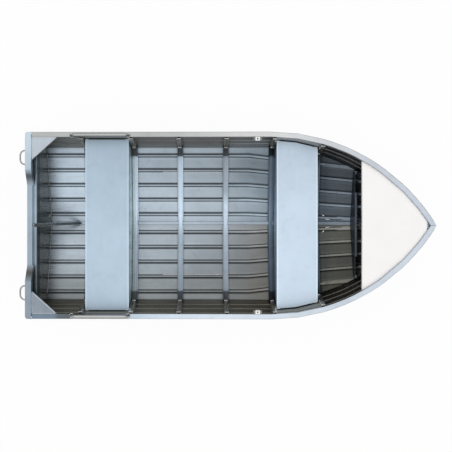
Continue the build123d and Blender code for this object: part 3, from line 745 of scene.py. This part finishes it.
def metal(name, pattern, grain, roughness, clouds=0.08, lines=0.05, bump=0.12, metallic=1.0,
          speckle=0.0, dirt_and_corner_shade=0.0):
    """Bare aluminium: a pattern of tones that is drawn in its tree, the marks of the mill and of use, and
    painted shade in the inner corners.
    """
    material, tree, shader = shader_tree(name)
    fine = streaks(tree, grain, GRAIN_SCALE)
    colour = worn(tree, pattern(tree), fine, grain, clouds, lines)
    if speckle:
        spots = streaks(tree, EVEN, SPECKLE_SCALE, FEW_OCTAVES)
        colour = shaded(tree, colour, spots, SPECKLE_RANGE, speckle)
    # Painted shade in the inner corners, deeper where the surroundings close in
    if dirt_and_corner_shade:
        colour = corner_shaded(tree, colour, dirt_and_corner_shade)
    shader.inputs["Metallic"].default_value = metallic
    tree.links.new(colour, shader.inputs["Base Color"])
    tree.links.new(remap(tree, fine, *GRAIN_RANGE, *roughness), shader.inputs["Roughness"])
    bumped(tree, shader, fine, bump, METAL_BUMP_DEPTH)
    return material


def lengthwise(stops, across=None):
    """A pattern with tones from stern to bow, and levels from side to side."""
    def draw(tree):
        colour = toned(tree, "X", stops)
        return product(tree, colour, toned(tree, "Y", levels(across))) if across else colour
    return draw


def plain_metal(name):
    """A metal of one tone from stern to bow."""
    values = dict(PLAIN_METALS[name])
    colour = tone(*values.pop("tone"))
    pattern = lengthwise([(TONE_AFT, colour), (TONE_FORE, colour)], values.pop("across", None))
    return metal(name, pattern, **values)


def outboard_of_swage(tree):
    """How far a point of the bottom lies outboard of the middle of its nearest swage."""
    gone = maths(tree, "SUBTRACT", coordinate(tree, "X"), SWAGE_DRAW_START)
    draw = maths(tree, "MAXIMUM", maths(tree, "DIVIDE", gone, SWAGE_DRAW_RUN), 0.0)
    first = maths(tree, "SUBTRACT", SWAGE_FIRST, maths(tree, "MULTIPLY", draw, SWAGE_DRAW_FIRST))
    pitch = maths(tree, "SUBTRACT", SWAGE_PITCH, maths(tree, "MULTIPLY", draw, SWAGE_DRAW_STEP))
    out = maths(tree, "ABSOLUTE", coordinate(tree, "Y"))
    count = maths(tree, "DIVIDE", maths(tree, "SUBTRACT", out, first), pitch)
    part = maths(tree, "SUBTRACT", maths(tree, "FRACT", maths(tree, "ADD", count, 0.5)), 0.5)
    return maths(tree, "MULTIPLY", part, pitch)


def swage_shade_and_highlight(tree):
    """The swages: painted shade along their outboard edges all along, and a painted highlight on their
    crowns towards the bow.
    """
    distance = outboard_of_swage(tree)
    aft = ramped(tree, distance, levels(SWAGE_AFT_LEVELS))
    fore = ramped(tree, distance, levels(SWAGE_FORE_LEVELS))
    return blended(tree, "X", SWAGE_CHANGE, aft, fore)


def bottom_metal(side):
    """A bottom sheet with painted light and shade: lightest near the keel, painted shade outboard and
    towards the bow, and a warmer painted reflection to starboard.
    """
    def draw(tree):
        aft = toned(tree, "Y", levels(BOTTOM_ACROSS_AFT[side]))
        fore = toned(tree, "Y", levels(BOTTOM_ACROSS_FORE[side]))
        sideways = blended(tree, "X", ACROSS_CHANGE, aft, fore)
        colour = product(tree, toned(tree, "X", tones(BOTTOM_TONES[side])), sideways)
        return product(tree, colour, swage_shade_and_highlight(tree))
    return metal("bottom_metal_" + side, draw, ALONG, **BOTTOM_FINISH)


def side_metal(side):
    return metal("side_metal_" + side, lengthwise(tones(SIDE_TONES[side])), ALONG, **SIDE_FINISH)


def gunwale_metal(side):
    return metal("gunwale_metal_" + side, lengthwise(tones(GUNWALE_TONES[side])), ALONG, **GUNWALE_FINISH)


def shelf_metal():
    """The shelf under the cap: light on top, with painted shade on its folded front and towards starboard.
    """
    low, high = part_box("transom_shelf")
    front = high[0] - SHELF_FRONT
    places = [low[0], low[0] + SHELF_AFT_RUN, front - SHELF_FRONT_RUN, front, high[0]]
    pattern = lengthwise(tones(zip(places, SHELF_TONES)), SHELF_ACROSS)
    return metal("shelf_metal", pattern, ACROSS, **SHELF_FINISH)


def frame_metal(number):
    """A frame's floor: bright in the middle, with painted shade to starboard and at its ends, and a painted
    highlight on its lip.
    """
    low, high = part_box(f"frame_{number}_floor")
    body = tone(*FRAME_TONES[number - 1])
    lip_highlight = scaled(body, FRAME_LIP_HIGHLIGHT)
    edge = high[0] - FRAME_LIP
    stops = [
        (low[0], scaled(body, FRAME_AFT_LIGHT[number - 1])), (low[0] + FRAME_AFT_RUN, body),
        (edge - FRAME_LIP_RUN, body), (edge, lip_highlight), (high[0], lip_highlight),
    ]
    port = FRAME_PORT_SHADE[number - 1]
    across = [(y, FRAME_END_SHADE) for y in FRAME_STARBOARD_END] + FRAME_STARBOARD_LEVELS
    across += [(y, share * port) for y, share in FRAME_PORT_SHARES]
    across += [(y, FRAME_END_SHADE) for y in FRAME_PORT_END]
    return metal(f"frame_metal_{number}", lengthwise(stops, across), ACROSS, **FRAME_FINISH)


def seat_metal(node, colour):
    """A satin seat sheet, with painted highlights along its folded edges and a little painted shade to port.
    """
    low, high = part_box(node)
    fold_highlight = scaled(colour, SEAT_FOLD_HIGHLIGHT)
    aft, fore = low[0] + SEAT_FOLD, high[0] - SEAT_FOLD
    stops = [
        (low[0], fold_highlight), (aft, fold_highlight), (aft + SEAT_FOLD_RUN, colour),
        (fore - SEAT_FOLD_RUN, colour), (fore, fold_highlight), (high[0], fold_highlight),
    ]
    return metal(node + "_metal", lengthwise(stops, SEAT_ACROSS), ACROSS, **SEAT_FINISH)


# Paint and plastic
def paint(name, stops, dirt_and_corner_shade, roughness):
    """Paint or moulded plastic with faint mottling and small scuffs."""
    material, tree, shader = shader_tree(name)
    shader.inputs["IOR"].default_value = PAINT_IOR
    base = toned(tree, "X", stops)
    base = shaded(tree, base, streaks(tree, EVEN, MOTTLE_SCALE), MOTTLE_RANGE, dirt_and_corner_shade)
    base = shaded(tree, base, streaks(tree, SCUFF_STRETCH, SCUFF_SCALE), SCUFF_RANGE, dirt_and_corner_shade)
    tree.links.new(base, shader.inputs["Base Color"])
    peel = streaks(tree, EVEN, PEEL_SCALE)
    sheen = remap(tree, peel, *PEEL_RANGE, roughness - PEEL_ROUGHNESS, roughness + PEEL_ROUGHNESS)
    tree.links.new(sheen, shader.inputs["Roughness"])
    bumped(tree, shader, peel, PAINT_BUMP, PAINT_BUMP_DEPTH)
    return material


def deck_paint():
    cream = tone(*DECK_TONE)
    return paint("deck_paint_cream", [(TONE_AFT, cream), (TONE_FORE, cream)], **DECK_FINISH)


def rowlock_plastic(side):
    """White round the socket, with painted shade at the block's ends."""
    low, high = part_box("rowlock_" + side)
    middle = (low[0] + high[0]) / 2
    shade, white = ROWLOCK_SHADE_TONE, ROWLOCK_WHITE_TONE
    stops = [
        (low[0], shade), (middle - ROWLOCK_SHADE_FROM, shade), (middle - ROWLOCK_WHITE_HALF, white),
        (middle + ROWLOCK_WHITE_HALF, white), (middle + ROWLOCK_SHADE_FROM, shade), (high[0], shade),
    ]
    return paint("rowlock_plastic_" + side, tones(stops), **ROWLOCK_FINISH)


# Which piece wears what
def dress(material, names, edge=0.0):
    for name in names:
        node = nodes[name]
        node.data.materials.clear()
        node.data.materials.append(material)
        if edge:
            ease_edges(node, edge)


def both(name):
    return [name + "_port", name + "_starboard"]


def dress_hull():
    dress(plain_metal("transom_metal"), ["transom"])
    dress(plain_metal("cap_metal"), ["transom_cap"], SECTION_ROUND)
    dress(shelf_metal(), ["transom_shelf"], SHEET_ROUND)
    dress(plain_metal("web_metal"), ["bow_web"], LIP_ROUND)
    dress(plain_metal("extruded_metal"), both("chine") + ["stem_bar"], SHEET_ROUND)
    dress(metal("keel_metal", lengthwise(tones(KEEL_TONES)), ALONG, **KEEL_FINISH), ["keel"], SHEET_ROUND)
    dress(deck_paint(), ["foredeck"], SHEET_ROUND)


def dress_sides():
    """The pieces whose tone differs from side to side, most of it painted light and shade that falls
    differently on port and starboard.
    """
    for side in SIDES:
        dress(bottom_metal(side), ["bottom_sheet_" + side])
        dress(side_metal(side), ["side_sheet_" + side])
        dress(gunwale_metal(side), ["gunwale_" + side], SECTION_ROUND)
        dress(plain_metal("knee_metal_" + side), ["stern_knee_" + side], BLOCK_ROUND)
        dress(rowlock_plastic(side), ["rowlock_" + side], BLOCK_ROUND)


def dress_frames():
    risers = plain_metal("riser_metal")
    for number in range(1, FRAME_COUNT + 1):
        dress(frame_metal(number), [f"frame_{number}_floor"], SECTION_ROUND)
        dress(risers, [f"frame_{number}_risers"], SECTION_ROUND)


def dress_tubes():
    tubes = both("stern_handle") + both("grab_rail") + ["towing_eye", "drain"]
    dress(plain_metal("tube_metal"), tubes)
    dress(plain_metal("brace_metal"), ["transom_brace"])


def dress_seats():
    for seat, (top_tone, panel_light) in SEATS.items():
        colour = tone(*top_tone)
        dress(seat_metal(seat + "_top", colour), [seat + "_top"], SEAT_ROUND)
        # The panels take the top's tone raised by painted light
        dress(seat_metal(seat + "_panels", scaled(colour, panel_light)), [seat + "_panels"])


# Welds
def riser_faces(number, height):
    """The sides of a frame, each with the point where its riser's inner face reaches a height."""
    node = f"frame_{number}_risers"
    low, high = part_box(node)
    middle = (low[0] + high[0]) / 2
    return [(side, hit(node, (middle, 0, height), (0, side, 0))) for side in SIDES.values()]


def riser_head_welds(surface):
    """Short beads round the head of each riser."""
    paths = []
    for number in range(1, FRAME_COUNT + 1):
        top_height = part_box(f"frame_{number}_risers")[1][2]
        for side, head in riser_faces(number, top_height - RISER_HEAD_DEPTH):
            for shift in (-RISER_EDGE_HALF, RISER_EDGE_HALF):
                top = head + Vector((shift, -RISER_EDGE_TOP_IN * side, RISER_EDGE_TOP_UP))
                paths.append([top, top - Vector((0, RISER_EDGE_RUN_IN * side, RISER_EDGE_RUN_DOWN))])
            ends = (-RISER_HEAD_HALF, RISER_HEAD_HALF)
            paths.append([head + Vector((x, 0, RISER_HEAD_RISE)) for x in ends])
    beads("riser_head_welds", paths, RISER_HEAD_RADIUS, surface)


def riser_joint_welds(surface):
    """A bead across the joint of each riser with its floor."""
    paths = []
    ends = (-RISER_JOINT_HALF, RISER_JOINT_HALF)
    for number in range(1, FRAME_COUNT + 1):
        floor_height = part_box(f"frame_{number}_floor")[1][2]
        for _, joint in riser_faces(number, floor_height + RISER_JOINT_RISE):
            paths.append([joint + Vector((x, 0, -RISER_JOINT_RISE)) for x in ends])
    beads("riser_joint_welds", paths, RISER_JOINT_RADIUS, surface)


def knee_welds(surface):
    """Beads where each stern knee meets the cap and the gunwale."""
    paths = []
    for name, side in SIDES.items():
        low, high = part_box("stern_knee_" + name)
        outer, inner = outer_and_inner(low, high, side)
        corner = Vector((low[0] + KNEE_WELD_INSET, outer - KNEE_WELD_INSET * side, high[2]))
        paths.append([corner, Vector((high[0] - KNEE_TIP_INSET, corner.y, corner.z))])
        paths.append([corner, Vector((corner.x, inner + KNEE_TIP_INSET * side, corner.z))])
    beads("knee_welds", paths, KNEE_WELD_RADIUS, surface)


def knee_fold_highlights(surface):
    """A smooth strip along the folded long edge of each stern knee, in bright weld metal that paints its
    highlight.
    """
    paths = []
    for name, side in SIDES.items():
        low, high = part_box("stern_knee_" + name)
        outer, inner = outer_and_inner(low, high, side)
        fore = Vector((high[0] - KNEE_TIP_INSET, outer - KNEE_FOLD_INSET * side, high[2]))
        aft = Vector((low[0] + KNEE_FOLD_INSET, inner + KNEE_TIP_INSET * side, high[2]))
        paths.append([fore, aft])
    strips("knee_fold_highlights", paths, KNEE_FOLD_RADIUS, surface)


def seat_welds(surface):
    """Short beads that hold the corners of each seat top to the sides."""
    paths = []
    for seat in SEATS:
        node = seat + "_top"
        low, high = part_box(node)
        level = high[2] - SEAT_WELD_DEPTH
        aft, fore = low[0] + SEAT_WELD_INSET, high[0] - SEAT_WELD_INSET
        for ends in ((aft, aft + SEAT_WELD_LENGTH), (fore, fore - SEAT_WELD_LENGTH)):
            for side in SIDES.values():
                paths.append([hit(node, (x, side * BESIDE_ALL, level), (0, -side, 0)) for x in ends])
    beads("seat_welds", paths, SEAT_WELD_RADIUS, surface)


def foot_welds(surface):
    """Rings round the feet of the grab rails and the brace."""
    paths = []
    reach = TUBE_RADIUS + FOOT_WELD_OUT
    for name in SIDES:
        low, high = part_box("grab_rail_" + name)
        middle = (low[1] + high[1]) / 2
        for x in (low[0] + TUBE_RADIUS, high[0] - TUBE_RADIUS):
            top = hit("gunwale_" + name, (x, middle, high[2] + ABOVE_PIECE), (0, 0, -1))
            paths.append(ring(top, reach, reach))
    low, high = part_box("transom_brace")
    foot = Vector((high[0] - TUBE_RADIUS, 0, low[2] + FOOT_WELD_OUT))
    paths.append(ring(foot, *BRACE_FOOT_HALF))
    beads("foot_welds", paths, FOOT_WELD_RADIUS, surface)


def transom_weld(surface):
    """A bead on each side along the corner between the transom and the bottom."""
    run = TRANSOM_WELD_END - TRANSOM_WELD_START
    paths = []
    for name, side in SIDES.items():
        path = []
        for i in range(TRANSOM_WELD_STATIONS + 1):
            y = side * (TRANSOM_WELD_START + run * i / TRANSOM_WELD_STATIONS)
            floor = hit("bottom_sheet_" + name, (TRANSOM_WELD_RAY_X, y, TRANSOM_WELD_RAY_Z), (0, 0, -1))
            height = floor.z + TRANSOM_WELD_WALL_RISE
            wall = hit("transom", (TRANSOM_WELD_RAY_X, y, height), (-1, 0, 0))
            path.append(wall + TRANSOM_WELD_OFFSET)
        paths.append(path)
    beads("transom_weld", paths, TRANSOM_WELD_RADIUS, surface)


# Edges and seams of the gunwales
def gunwale_rolls(surface):
    """The rolled outer edge along the top of each gunwale, a real round in a darker tone that paints the
    shade along it.
    """
    low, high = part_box("gunwale_port")
    aft, fore = low[0] + ROLL_RADIUS, high[0] - ROLL_FORE_INSET
    paths = []
    for name, side in SIDES.items():
        path = []
        for i in range(ROLL_STATIONS):
            x = aft + (fore - aft) * i / (ROLL_STATIONS - 1)
            edge = outer_edge("gunwale_" + name, x, side)
            height = min(edge.z - ROLL_SINK, cad_high[2] - ROLL_RADIUS)
            path.append(Vector((edge.x, edge.y - side * ROLL_RADIUS, height)))
        paths.append(path)
    strips("gunwale_rolls", paths, ROLL_RADIUS, surface)


def bow_mitre(surface):
    """The dark seam where the two gunwales meet at the bow."""
    tip_x, _, high_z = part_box("gunwale_port")[1]
    start = (tip_x - MITRE_RAY_BACK, MITRE_RAY_OUT, high_z + ABOVE_PIECE)
    level = hit("gunwale_port", start, (0, 0, -1)).z - MITRE_SINK
    path = [Vector((tip_x - inset, 0, level)) for inset in (MITRE_LENGTH, MITRE_TIP_INSET)]
    strips("bow_mitre", [path], MITRE_RADIUS, surface)


def add_welds():
    bright = plain_metal("weld_metal")
    for weld in (riser_head_welds, riser_joint_welds, knee_welds, seat_welds, foot_welds):
        weld(bright)
    bow_mitre(plain_metal("seam_metal"))
    gunwale_rolls(plain_metal("roll_metal"))
    # The knee folds wear the bright weld metal as a painted highlight
    knee_fold_highlights(bright)
    transom_weld(plain_metal("corner_weld_metal"))


bpy.context.scene.view_settings.view_transform = "Standard"
make_camera()
make_lamp()
make_world()
make_floor(floor_material())
add_welds()
dress_hull()
dress_sides()
dress_frames()
dress_tubes()
dress_seats()
